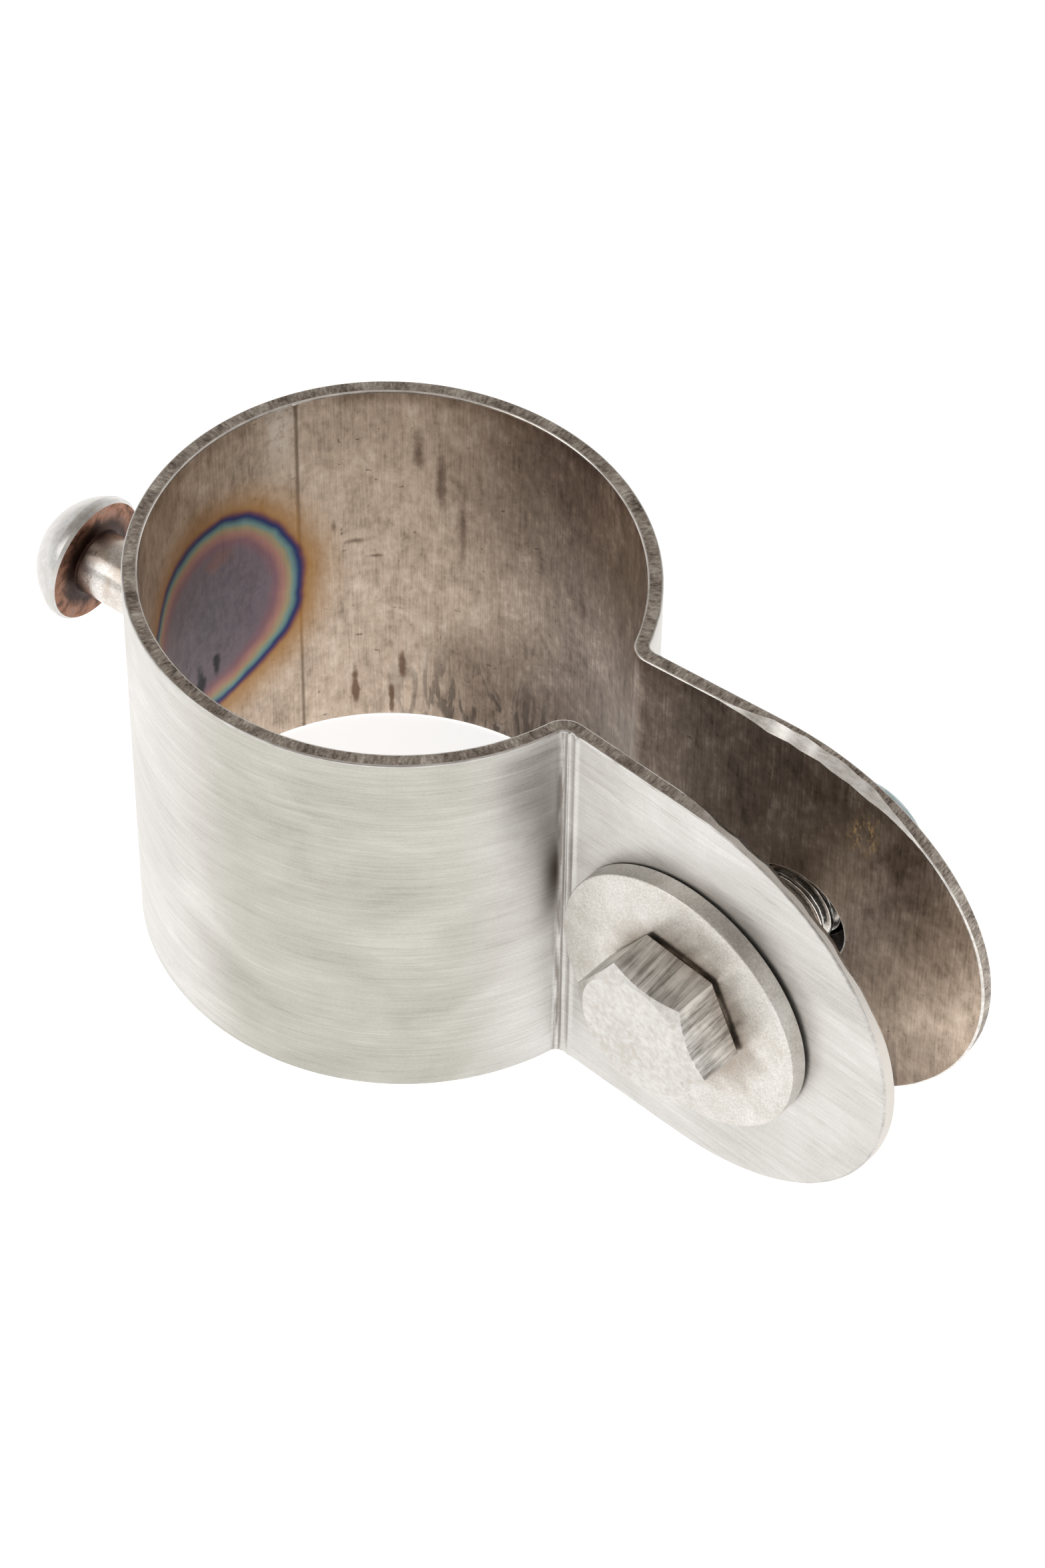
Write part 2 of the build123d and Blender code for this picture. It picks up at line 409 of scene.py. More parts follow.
def turned(rows, closed=False):
    """Faces between rows of AROUND points; closed joins the last row to the first."""
    points = [point for row in rows for point in row]
    faces = []
    pairs = [(i, i + 1) for i in range(len(rows) - 1)] + ([(len(rows) - 1, 0)] if closed else [])
    for low, high in pairs:
        for i in range(AROUND):
            j = (i + 1) % AROUND
            faces.append([low * AROUND + i, low * AROUND + j, high * AROUND + j, high * AROUND + i])
    if not closed:
        faces.append(list(range(AROUND))[::-1])
        faces.append([(len(rows) - 1) * AROUND + i for i in range(AROUND)])
    return points, faces


def ring(radius, height, place):
    """Row of points round an axis; radius and height are numbers or functions of the angle."""
    row = []
    for i in range(AROUND):
        angle = 360 * i / AROUND
        r = radius(angle) if callable(radius) else radius
        h = height(angle) if callable(height) else height
        row.append(place @ Vector((r * cos(radians(angle)), r * sin(radians(angle)), h)))
    return row


def rounded(corners, radius, steps=3):
    """Profile through the corners, with each one replaced by a small curve."""
    found = [corners[0]]
    for before, corner, after in zip(corners, corners[1:], corners[2:]):
        b, c, a = Vector(before), Vector(corner), Vector(after)
        size = min(radius, (b - c).length / 2.2, (a - c).length / 2.2)
        start = c + (b - c).normalized() * size
        end = c + (a - c).normalized() * size
        for i in range(steps + 1):
            t = i / steps
            found.append(tuple(start * (1 - t) ** 2 + c * (2 * t * (1 - t)) + end * t * t))
    return found + [corners[-1]]


def bevelled(piece, width):
    """Small worn roundings on the sharp edges."""
    bevel = piece.modifiers.new("worn edges", "BEVEL")
    bevel.width = width * MM
    bevel.segments = 2
    bevel.limit_method = "ANGLE"
    bevel.angle_limit = radians(24)
    return piece


# ---------------------------------------------------------------- bolt axis

FRONT = Half(-1, FRONT_EAR_ANGLE, FRONT_HOLE_X)
REAR = Half(1, REAR_EAR_ANGLE, REAR_HOLE_X)
ALONG = Vector((sin(radians(BOLT_LEAN)), cos(radians(BOLT_LEAN)), 0))


def bolt_place(distance, turn=0.0):
    """Axes on the bolt: X up the pipe, Z from the head to the tip."""
    across = ALONG.cross(Vector((0, 0, 1)))
    axes = Matrix((Vector((0, 0, 1)), across, ALONG)).transposed().to_4x4()
    origin = Vector((BOLT_X, 0, BOLT_Z)) + distance * ALONG
    return Matrix.Translation(origin) @ axes @ Matrix.Rotation(radians(turn), 4, "Z")


def washer_face(half):
    """Distance along the bolt of the face that a washer turns to its ear."""
    slope = tan(radians(half.ear_angle))
    face = half.ear_start + HALF_THICKNESS * unit(half.ear_angle + 90)
    face_y = face.y + (BOLT_X - face.x) * slope
    crossing = half.side * face_y / (ALONG.y - half.side * slope * ALONG.x)
    tilt = BOLT_LEAN + half.side * half.ear_angle
    return crossing + half.side * (WASHER_RADIUS * tan(radians(tilt)) + CONTACT_GAP)


FRONT_WASHER = washer_face(FRONT) - WASHER_THICKNESS
REAR_WASHER = washer_face(REAR)
HEAD_FACE = FRONT_WASHER - FACE_GAP
NUT_FACE = REAR_WASHER + WASHER_THICKNESS + FACE_GAP


def hex_radius(angle):
    """Distance from the axis to the hexagon's side, with flats at 0, 60 and so on."""
    return HEX_APOTHEM / cos(radians((angle + 30) % 60 - 30))


def hexagon_rows(place, height, sign, inner):
    """Rows of a hexagon from its bearing face to the circle inside its chamfered corners."""
    lift = 0.45

    def top(angle):
        return sign * (height - (hex_radius(angle) - CORNER_CONE_START) * CORNER_SLOPE)

    rows = [ring(inner, 0, place), ring(BEARING_RADIUS, 0, place)]
    rows.append(ring(BEARING_RADIUS, sign * (lift - 0.05), place))
    rows.append(ring(hex_radius, sign * lift, place))
    for share in (0.33, 0.66, 1.0):
        rows.append(ring(hex_radius, lambda a, s=share: top(a) * s + sign * lift * (1 - s), place))
    rows.append(ring(CORNER_CONE_START, sign * height, place))
    return rows


def thread_radius(angle, height):
    """Outside of the screw thread, run out at the head and chamfered at the tip."""
    turn = (height / THREAD_PITCH - angle / 360) % 1
    crest = smooth(0.16, 0.88, 1 - abs(2 * turn - 1))
    depth = THREAD_DEPTH * smooth(1.5, 3.5, height) * (1 - crest)
    return min(THREAD_RADIUS - depth, THREAD_RADIUS - (height - BOLT_LENGTH + TIP_CHAMFER))


def hex_bolt(materials):
    place = bolt_place(HEAD_FACE, HEAD_TURN)
    rows = [ring(3.0, -HEAD_HEIGHT, place), ring(7.6, -HEAD_HEIGHT, place)]
    rows += hexagon_rows(place, HEAD_HEIGHT, -1, THREAD_RADIUS)[::-1]
    step = THREAD_PITCH / 14
    for i in range(1, int(BOLT_LENGTH / step)):
        rows.append(ring(lambda a, z=i * step: thread_radius(a, z), i * step, place))
    rows.append(ring(THREAD_RADIUS - TIP_CHAMFER, BOLT_LENGTH, place))
    rows.append(ring(2.0, BOLT_LENGTH, place))
    points, faces = turned(rows)
    head_rows = 9
    kinds = [2] * (3 * AROUND) + [0] * ((head_rows - 3) * AROUND)
    kinds += [1] * (len(faces) - 2 - len(kinds)) + [2, 1]
    return mesh_piece("hex_bolt_detail", points, faces, materials, kinds)


def washer(name, distance, outward, material):
    """Punched washer: rolled over at the outer edge of one face, sharp on the other."""
    low, high = (0, WASHER_THICKNESS) if outward > 0 else (WASHER_THICKNESS, 0)
    corners = [(WASHER_HOLE + 1, low), (WASHER_RADIUS, low), (WASHER_RADIUS, high),
               (WASHER_HOLE, high), (WASHER_HOLE, low), (WASHER_HOLE + 1, low)]
    profile = rounded(corners, 0.26)[:-1]
    place = bolt_place(distance)
    points, faces = turned([ring(r, h, place) for r, h in profile], closed=True)
    return mesh_piece(name, points, oriented(faces, outward), [material])


def oriented(faces, sign):
    return faces if sign > 0 else [face[::-1] for face in faces]


def lock_nut(material):
    place = bolt_place(NUT_FACE)
    seat = NUT_HEIGHT - LIP_THICKNESS - INSERT_THICKNESS
    rows = hexagon_rows(place, NUT_HEX_HEIGHT, 1, NUT_BORE + 0.8)
    rows.append(ring(CROWN_RADIUS, NUT_HEX_HEIGHT + 0.05, place))
    middle = CROWN_RADIUS - CROWN_ROUND
    for i in range(9):
        angle = acos((LIP_RADIUS - middle) / CROWN_ROUND) * i / 8
        height = NUT_HEIGHT - CROWN_ROUND + CROWN_ROUND * sin(angle)
        rows.append(ring(middle + CROWN_ROUND * cos(angle), height, place))
    inner = [(LIP_RADIUS, NUT_HEIGHT - LIP_THICKNESS), (INSERT_RADIUS, NUT_HEIGHT - LIP_THICKNESS),
             (INSERT_RADIUS, seat), (NUT_BORE, seat), (NUT_BORE, 0.8)]
    rows += [ring(r, h, place) for r, h in inner]
    points, faces = turned(rows, closed=True)
    return mesh_piece("lock_nut_detail", points, faces, [material])


def nut_insert(material):
    """Nylon ring, pressed up a little round the thread."""
    place = bolt_place(NUT_FACE)
    base = NUT_HEIGHT - LIP_THICKNESS - INSERT_THICKNESS + 0.02
    top = base + INSERT_THICKNESS - 0.05
    corners = [(INSERT_RADIUS - 1, base), (INSERT_RADIUS - 0.02, base), (INSERT_RADIUS - 0.02, top),
               (NUT_BORE + 0.02, top), (NUT_BORE + 0.02, base), (INSERT_RADIUS - 1, base)]
    profile = rounded(corners, 0.3)[:-1]
    points, faces = turned([ring(r, h, place) for r, h in profile], closed=True)
    return mesh_piece("nut_insert_detail", points, faces, [material])


# ---------------------------------------------------------------- stud

def stud_place():
    """Axes on the stud: Z away from the hoop."""
    axes = Matrix((Vector((0, 1, 0)), Vector((0, 0, -1)), Vector((-1, 0, 0)))).transposed().to_4x4()
    return Matrix.Translation(Vector((0, 0, STUD_Z))) @ axes


def on_hoop(radius, lift=0.0):
    """Height above the pipe axis at which a circle round the stud meets the hoop."""
    return lambda angle: sqrt(OUTER_RADIUS ** 2 - (radius * cos(radians(angle))) ** 2) + lift


def mounting_stud(materials):
    place = stud_place()
    under = OUTER_RADIUS + SHANK_LENGTH
    land = under + STUD_HEAD_LAND
    top = under + STUD_HEAD_HEIGHT
    rise = top - land
    dome = (STUD_HEAD_RADIUS ** 2 + rise ** 2) / (2 * rise)
    start = asin((dome - rise) / dome)
    rows = [ring(SHANK_RADIUS, on_hoop(SHANK_RADIUS, 0.02), place)]
    kinds = []
    for i in range(1, 9):
        rows.append(ring(SHANK_RADIUS, OUTER_RADIUS + (SHANK_LENGTH - 0.5) * i / 8, place))
        kinds.append(0)
    for r, h in ((SHANK_RADIUS + 0.15, under - 0.12), (SHANK_RADIUS + 0.5, under)):
        rows.append(ring(r, h, place))
        kinds.append(1)
    reach = STUD_HEAD_RADIUS - STUD_UNDERCUT - SHANK_RADIUS - 0.5
    for i in range(1, 6):
        rows.append(ring(SHANK_RADIUS + 0.5 + reach * i / 5, under, place))
        kinds.append(1)
    rows.append(ring(STUD_HEAD_RADIUS, under + STUD_UNDERCUT, place))
    rows.append(ring(STUD_HEAD_RADIUS, land, place))
    kinds += [2, 2]
    count = 28
    for i in range(1, count):
        angle = start + (pi / 2 - start) * i / count
        rows.append(ring(dome * cos(angle), top - dome + dome * sin(angle), place))
        kinds.append(2)
    points, faces = turned(rows)
    spread = [kind for kind in kinds for _ in range(AROUND)] + [0, 2]
    return mesh_piece("mounting_stud_detail", points, faces, materials, spread)


def stud_weld(material):
    """Fillet bead with the overlapping ripples of a hand-made weld."""
    place = stud_place()
    count = 10
    rows = [ring(SHANK_RADIUS - 0.1, on_hoop(SHANK_RADIUS - 0.1, 0.03), place)]

    def toe(share):
        return lambda angle: SHANK_RADIUS - 0.05 + bead(share, angle) * WELD_LEG

    def height(share):
        def at(angle):
            low = on_hoop(SHANK_RADIUS + WELD_LEG * (1 - share))(angle)
            lift = WELD_LEG * (1 - (1 - share) ** 1.5) * (0.94 + 0.05 * sin(radians(5 * angle)))
            return low + 0.02 + lift
        return at

    def bead(share, angle):
        ripple = 0.035 * sin(radians(26 * angle) + 5 * share) * sin(pi * share)
        wander = 0.04 * sin(radians(3 * angle + 40)) * (1 - share)
        return (1 - share) * (0.95 + wander) + 0.16 * sin(pi * share) + ripple

    for i in range(count + 1):
        rows.append(ring(toe(i / count), height(i / count), place))
    rows.append(ring(SHANK_RADIUS - 0.1, OUTER_RADIUS + WELD_LEG * 0.9, place))
    points, faces = turned(rows, closed=True)
    return mesh_piece("stud_weld_detail", points, faces, [material], sharp=60)


# ---------------------------------------------------------------- materials

class Surface:
    """A metal or plastic material and short ways to add its nodes."""

    def __init__(self, name, metallic=1.0, roughness=0.35, source="object"):
        self.material = bpy.data.materials.new(name)
        self.material.use_nodes = True
        self.tree = self.material.node_tree
        self.shader = self.tree.nodes["Principled BSDF"]
        self.shader.inputs["Metallic"].default_value = metallic
        self.shader.inputs["Roughness"].default_value = roughness
        if source == "flat":
            self.place = self.node("Attribute", attribute_name="flat").outputs["Vector"]
        else:
            found = self.node("TexCoord").outputs["Object"]
            self.place = self.vector("SCALE", found, scale=1 / MM)

    def node(self, kind, inputs=None, **settings):
        made = self.tree.nodes.new("ShaderNode" + kind)
        for key, value in settings.items():
            setattr(made, key, value)
        for key, value in (inputs or {}).items():
            if isinstance(value, bpy.types.NodeSocket):
                self.tree.links.new(value, made.inputs[key])
            else:
                made.inputs[key].default_value = value
        return made

    def calc(self, operation, a, b=0.0, clamp=False):
        made = self.node("Math", {0: a, 1: b}, operation=operation, use_clamp=clamp)
        return made.outputs[0]

    def vector(self, operation, a, b=(0, 0, 0), scale=1.0):
        inputs = {"Vector": a, "Scale": scale} if operation == "SCALE" else {0: a, 1: b}
        return self.node("VectorMath", inputs, operation=operation).outputs[0]

    def noise(self, size, detail=4.0, stretch=(1, 1, 1), move=(0, 0, 0), rough=0.55, warp=0.0):
        """Noise whose features are about size millimetres across, times stretch."""
        scaled = self.vector("DIVIDE", self.vector("ADD", self.place, move),
                             tuple(size * s for s in stretch))
        inputs = {"Vector": scaled, "Scale": 1.0, "Detail": detail, "Roughness": rough,
                  "Distortion": warp}
        return self.node("TexNoise", inputs).outputs["Fac"]

    def band(self, value, low, high):
        """0 below low, 1 above high."""
        inputs = {"Value": value, "From Min": low, "From Max": high}
        return self.node("MapRange", inputs, interpolation_type="SMOOTHSTEP").outputs[0]

    def spot(self, value, middle, half_width):
        """1 at the middle, 0 at half_width from it."""
        away = self.calc("ABSOLUTE", self.calc("SUBTRACT", value, middle))
        return self.calc("SUBTRACT", 1.0, self.band(away, 0.0, half_width))

    def patch(self, middle, size, edge=0.35):
        """Soft blot on the flat sheet, uneven at its edge."""
        away = self.vector("DIVIDE", self.vector("SUBTRACT", self.place, (*middle, 0)), (*size, 1e6))
        length = self.node("VectorMath", {0: away}, operation="LENGTH").outputs["Value"]
        wander = self.calc("MULTIPLY", self.calc("SUBTRACT", self.noise(2.2, 5), 0.5), 1.4)
        return self.calc("SUBTRACT", 1.0, self.band(self.calc("ADD", length, wander), edge, 1.0))

    def ramp(self, value, stops):
        made = self.node("ValToRGB", {"Fac": value})
        elements = made.color_ramp.elements
        while len(elements) < len(stops):
            elements.new(1.0)
        for element, (place, colour) in zip(elements, stops):
            element.position = place
            element.color = (*colour, 1)
        return made.outputs["Color"]

    def mix(self, share, a, b):
        made = self.node("Mix", data_type="RGBA")
        for socket, value in ((made.inputs[0], share), (made.inputs[6], a), (made.inputs[7], b)):
            if isinstance(value, bpy.types.NodeSocket):
                self.tree.links.new(value, socket)
            else:
                socket.default_value = value if socket.type == "VALUE" else (*value, 1)
        return made.outputs[2]

    def shaded(self, share, colour, by):
        """The colour multiplied by another where share is 1."""
        made = self.mix(share, colour, by)
        made.node.blend_type = "MULTIPLY"
        return made

    def times(self, *values):
        found = values[0]
        for value in values[1:]:
            found = self.calc("MULTIPLY", found, value)
        return found

    def finish(self, colour, roughness=None, height=None, depth=0.01):
        """Colour, roughness and a bump whose full height is depth millimetres."""
        self.tree.links.new(colour, self.shader.inputs["Base Color"])
        if roughness is not None:
            self.tree.links.new(roughness, self.shader.inputs["Roughness"])
        if height is not None:
            bump = self.node("Bump", {"Height": height, "Distance": depth * MM, "Strength": 1.0})
            self.tree.links.new(bump.outputs["Normal"], self.shader.inputs["Normal"])
        return self.material


def grey(value, warm=0.0):
    return (value * (1 + warm), value, value * (1 - 1.6 * warm))


def stains_at_neck(s):
    """Brown shade and dark smudge beside the press marks on the bolt head's side."""
    u, v, _ = s.node("SeparateXYZ", {0: s.place}).outputs
    neck = -FRONT.neck_end
    uneven = s.band(s.noise(3.0, 5, (0.35, 2.2, 1)), 0.35, 0.62)
    line = s.times(s.spot(u, neck + 1.9, 1.8), uneven, 0.75)
    smudge = s.times(s.spot(u, neck + 2.9, 2.2), s.spot(v, 35.0, 9.5), 1.0)
    fine = s.times(s.spot(u, neck + RIDGE_SPACING / 2 + 0.55, 0.3), 0.7)
    return s.calc("MAXIMUM", s.calc("MAXIMUM", line, smudge), fine)


def tint_outside(s):
    """Straw and brown oxide round the weld, on the outside of the hoop."""
    away = s.vector("SUBTRACT", s.place, (0, STUD_Z, HALF_THICKNESS))
    length = s.node("VectorMath", {0: away}, operation="LENGTH").outputs["Value"]
    wander = s.times(s.calc("SUBTRACT", s.noise(5.0, 3), 0.5), 2.5)
    return s.calc("ADD", length, wander)


# Middle and reach, along the strip, of the painted shade on the front side of the hoop
SHADE_MIDDLE = 65.0
SHADE_REACH = 25.0


def outer_finish():
    """Bright strip, brushed along its length, with faint scratches, clouds of tone and roughness, and
    painted shade round the middle of the front side.
    """
    s = Surface("strip_outer", source="flat")
    brush = s.noise(0.22, 6, (34, 1, 1), rough=0.7)
    coarse = s.noise(0.9, 4, (16, 1, 1), (7, 3, 0))
    clouds = s.noise(13.0, 4, (1.4, 1, 1), warp=0.6)
    grain = s.noise(0.35, 3)
    scratch_a = s.band(s.noise(0.5, 3, (22, 1.2, 1), (31, 5, 0), warp=1.2), 0.66, 0.70)
    tone = s.calc("ADD", s.times(brush, 0.36), s.times(coarse, 0.12))
    tone = s.calc("ADD", tone, s.times(clouds, 0.40))
    tone = s.calc("ADD", tone, s.times(grain, 0.12))
    colour = s.ramp(tone, [(0.40, grey(0.48, 0.03)), (0.47, grey(0.58, 0.025)),
                           (0.53, grey(0.64, 0.02)), (0.60, grey(0.74, 0.015))])
    u = s.node("SeparateXYZ", {0: s.place}).outputs["X"]
    # Painted shade: the front side of the hoop is darkened round the middle of its arc
    front_shade = s.band(s.calc("ABSOLUTE", s.calc("ADD", u, SHADE_MIDDLE)), SHADE_REACH, 12.0)
    colour = s.shaded(front_shade, colour, (0.76, 0.765, 0.715))
    colour = s.mix(s.times(scratch_a, 0.4), colour, grey(0.42, 0.05))
    colour = s.mix(stains_at_neck(s), colour, (0.135, 0.105, 0.085))
    heat = tint_outside(s)
    colour = s.mix(s.times(s.calc("SUBTRACT", 1.0, s.band(heat, 9.0, 17.0)), 0.75), colour,
                   (0.62, 0.40, 0.17))
    colour = s.mix(s.times(s.spot(heat, 9.6, 1.6), 0.8), colour, (0.30, 0.14, 0.20))
    colour = s.mix(s.times(s.calc("SUBTRACT", 1.0, s.band(heat, 7.4, 9.4)), 0.85), colour,
                   (0.20, 0.22, 0.27))
    rough = s.calc("ADD", s.times(clouds, 0.20), s.times(brush, 0.22))
    rough = s.calc("ADD", rough, 0.19)
    height = s.calc("ADD", s.times(brush, 0.75), s.times(coarse, 0.5))
    height = s.calc("SUBTRACT", height, s.times(scratch_a, 0.7))
    return s.finish(colour, rough, height, 0.010)


TINT_CENTRE = (1.2, 29.3)
EAR_MIDDLE = REAR.hole.x


def tint_inside(s):
    """Distance from the middle of the heat tint, drawn out towards the lower right."""
    u, v, _ = s.node("SeparateXYZ", {0: s.place}).outputs
    across = s.times(s.calc("SUBTRACT", u, TINT_CENTRE[0]), 1.07)
    up = s.calc("SUBTRACT", v, TINT_CENTRE[1])
    square = s.calc("ADD", s.times(across, across), s.times(up, up))
    wander = s.times(s.calc("SUBTRACT", s.noise(6.0, 2), 0.5), 1.6)
    return s.calc("ADD", s.calc("SQRT", square), wander), u, v


def inner_finish():
    """Oxidised inside of the strip: mottled brown, brushed across, with the weld's heat tint, and
    with painted shade, painted light and painted highlights in places.
    """
    s = Surface("strip_inner", source="flat")
    heat, u, v = tint_inside(s)
    brush = s.noise(0.26, 5, (1, 26, 1), rough=0.65)
    mottle = s.noise(5.5, 7, (1, 1.5, 1), rough=0.62, warp=0.8)
    fine = s.noise(1.1, 6, (1, 1.6, 1), (3, 9, 0), rough=0.7)
    flow = s.noise(3.6, 5, (0.7, 3.2, 1), (11, 2, 0), warp=1.5)
    away = s.calc("ABSOLUTE", u)
    # Painted shade: towards both ears the inner wall takes the darker, shaded copy of its oxide
    # colours (dark below), mixed in by this mask
    shade = s.band(away, 28.0, 58.0)
    tone = s.calc("ADD", s.times(mottle, 0.34), s.times(fine, 0.26))
    tone = s.calc("ADD", tone, s.times(brush, 0.24))
    tone = s.calc("ADD", tone, s.times(flow, 0.16))
    light = s.ramp(tone, [(0.38, (0.26, 0.20, 0.15)), (0.455, (0.47, 0.375, 0.29)),
                          (0.52, (0.62, 0.50, 0.395)), (0.61, (0.80, 0.69, 0.57))])
    dark = s.ramp(tone, [(0.39, (0.085, 0.062, 0.05)), (0.46, (0.19, 0.15, 0.125)),
                         (0.53, (0.29, 0.235, 0.20)), (0.60, (0.54, 0.465, 0.40))])
    colour = s.mix(s.times(shade, 0.8), light, dark)
    # Painted light: the rear ear's inner face turns to the lit copy of its colours towards its tip
    # and its lower half
    tip = s.times(s.band(u, EAR_MIDDLE - 4, REAR.tip - 2), s.calc("SUBTRACT", 1.1, s.band(v, 22, 62)))
    colour = s.mix(s.times(tip, 0.85), colour, light)
    smear = s.times(s.band(s.noise(2.4, 6, (1, 3.4, 1), (5, 40, 0), rough=0.7, warp=1.8), 0.50, 0.60),
                    s.spot(u, REAR.side_end - 12, 13.0))
    colour = s.mix(s.times(smear, 0.32), colour, (0.66, 0.57, 0.48))
    # Painted highlight: a small speckled gold glint on the rear ear's inner face
    gold_highlight = s.patch((EAR_MIDDLE + 9, 50), (3.2, 4.4), 0.1)
    gold_highlight = s.times(gold_highlight, s.band(s.noise(0.7, 6, (1, 3, 1), (2, 8, 0), rough=0.75), 0.48, 0.58))
    colour = s.mix(gold_highlight, colour, (0.98, 0.72, 0.38))
    pits = s.band(s.noise(0.8, 3, (1.5, 1, 1), (17, 23, 0)), 0.68, 0.74)
    colour = s.mix(s.times(pits, 0.6), colour, (0.09, 0.055, 0.035))
    # Dark mottled patches, stronger towards the bottom of the inner wall on the rear side
    dark_low_patches = s.times(s.calc("SUBTRACT", 1.0, s.band(v, 3.0, 21.0)), s.band(flow, 0.46, 0.60),
                    s.band(u, 18.0, 40.0))
    colour = s.mix(s.times(dark_low_patches, 0.75), colour, (0.075, 0.055, 0.045))
    # Painted shade: the inner wall on the rear side is darker towards the bottom
    low = s.times(s.calc("SUBTRACT", 1.0, s.band(v, 9.0, 25.0)), s.band(u, 29.0, 42.0))
    colour = s.shaded(low, colour, (0.56, 0.53, 0.51))
    # Painted shade: a darker region high on the rear side's inner wall, towards the ear
    high = s.times(s.band(v, 26.0, 46.0), s.band(u, 29.0, 46.0), s.spot(u, 46.0, 34.0))
    colour = s.shaded(high, colour, (0.60, 0.58, 0.57))
    for middle, size in STREAKS:
        colour = s.shaded(s.patch(middle, size, 0.0), colour, (0.42, 0.38, 0.36))
    for middle, size in DRIPS:
        colour = s.mix(s.times(s.patch(middle, size), 0.8), colour, (0.12, 0.052, 0.022))
    # Painted highlight: a lighter flat beside the press line near the top of the inner wall
    press_line_highlight = s.times(s.spot(u, PRESS_LINE - 2.2, 3.4), s.band(v, 46.0, 58.0), s.band(fine, 0.36, 0.5))
    colour = s.mix(s.times(press_line_highlight, 0.7), colour, (0.80, 0.74, 0.65))
    line = s.times(s.spot(u, PRESS_LINE, PRESS_LINE_WIDTH * 0.8), 0.7)
    colour = s.mix(line, colour, (0.13, 0.085, 0.055))
    halo = s.calc("SUBTRACT", 1.0, s.band(heat, 15.5, 24.0))
    colour = s.mix(s.times(halo, 0.92), colour, (0.40, 0.20, 0.05))
    tint = s.ramp(s.calc("DIVIDE", heat, 18.0), TINT_STOPS)
    colour = s.mix(s.calc("SUBTRACT", 1.0, s.band(heat, 16.0, 17.6)), colour, tint)
    core = s.times(s.calc("SUBTRACT", 1.0, s.band(heat, 8.0, 13.0)), s.band(fine, 0.40, 0.62), 0.35)
    colour = s.mix(core, colour, (0.06, 0.06, 0.075))
    blush = s.patch((3.5, 39.0), (3.4, 2.6), 0.1)
    colour = s.mix(s.times(blush, 0.45), colour, (0.28, 0.12, 0.085))
    for middle, size in SOOT:
        colour = s.mix(s.times(s.patch(middle, size), 0.9), colour, (0.012, 0.014, 0.018))
    rough = s.calc("ADD", s.times(mottle, 0.25), s.times(brush, 0.2))
    rough = s.calc("ADD", rough, 0.20)
    height = s.calc("ADD", s.times(brush, 0.6), s.times(fine, 0.6))
    height = s.calc("SUBTRACT", height, s.times(pits, 0.7))
    return s.finish(colour, rough, height, 0.010)


# Oxide colours from the middle of the weld's heat outwards
TINT_STOPS = [
    (0.0, (0.150, 0.130, 0.145)),
    (0.60, (0.185, 0.145, 0.165)),
    (0.68, (0.240, 0.130, 0.150)),
    (0.75, (0.400, 0.210, 0.170)),
    (0.80, (0.360, 0.300, 0.180)),
    (0.84, (0.170, 0.290, 0.270)),
    (0.885, (0.028, 0.050, 0.150)),
    (0.925, (0.090, 0.020, 0.100)),
    (0.96, (0.260, 0.070, 0.045)),
    (1.0, (0.460, 0.220, 0.060)),
]
DRIPS = [((23.5, 6.0), (0.7, 5.0)), ((30.0, 10.0), (0.8, 3.4)), ((28.5, 3.5), (0.5, 4.0))]
STREAKS = [((32.5, 50.0), (1.3, 5.0)), ((35.5, 45.0), (1.0, 8.0)), ((38.5, 38.0), (0.9, 9.0)),
           ((24.0, 33.5), (2.2, 0.7)), ((26.5, 30.5), (1.8, 0.5)), ((21.0, 36.5), (0.6, 1.6))]
SOOT = [((-1.0, 19.0), (1.3, 3.6)), ((2.2, 20.5), (1.0, 3.4)), ((-6.0, 17.0), (1.2, 3.2))]


def rim_finish():
    """Cut edge: grey-brown, torn and striated across the sheet."""
    s = Surface("strip_rim", source="flat")
    torn = s.noise(0.32, 6, (1, 1, 2.6), rough=0.7)
    blot = s.noise(3.5, 4)
    tone = s.calc("ADD", s.times(torn, 0.6), s.times(blot, 0.4))
    colour = s.ramp(tone, [(0.38, (0.10, 0.082, 0.068)), (0.47, (0.28, 0.24, 0.205)),
                           (0.55, (0.44, 0.395, 0.345)), (0.64, (0.70, 0.66, 0.60))])
    u = s.node("SeparateXYZ", {0: s.place}).outputs["X"]
    ground = s.band(u, 6 - FRONT.hole.x, -6 - FRONT.hole.x)
    colour = s.mix(s.times(ground, 0.9), colour, grey(0.66, 0.04))
    # Painted shade inside the bolt holes: the hole walls are darkened
    for half in (FRONT, REAR):
        middle = (half.side * half.hole.x, half.hole.y, 0)
        away = s.vector("MULTIPLY", s.vector("SUBTRACT", s.place, middle), (1, 1, 0))
        length = s.node("VectorMath", {0: away}, operation="LENGTH").outputs["Value"]
        painted_shade = s.calc("SUBTRACT", 1.0, s.band(length, HOLE_RADIUS, HOLE_RADIUS + 0.6))
        colour = s.shaded(painted_shade, colour, (0.12, 0.10, 0.09))
    rough = s.calc("ADD", s.times(torn, 0.25), 0.34)
    return s.finish(colour, rough, torn, 0.05)


def worn_finish(name, value):
    """Bright burnished metal along an edge."""
    s = Surface(name, source="flat")
    rub = s.noise(0.5, 5, (5, 1, 1), rough=0.7)
    blot = s.noise(2.4, 3)
    tone = s.calc("ADD", s.times(rub, 0.5), s.times(blot, 0.5))
    colour = s.ramp(tone, [(0.30, grey(value * 0.55, 0.05)), (0.52, grey(value, 0.03)),
                           (0.72, grey(min(0.95, value * 1.25), 0.02))])
    return s.finish(colour, s.calc("ADD", s.times(rub, 0.3), 0.12), rub, 0.012)


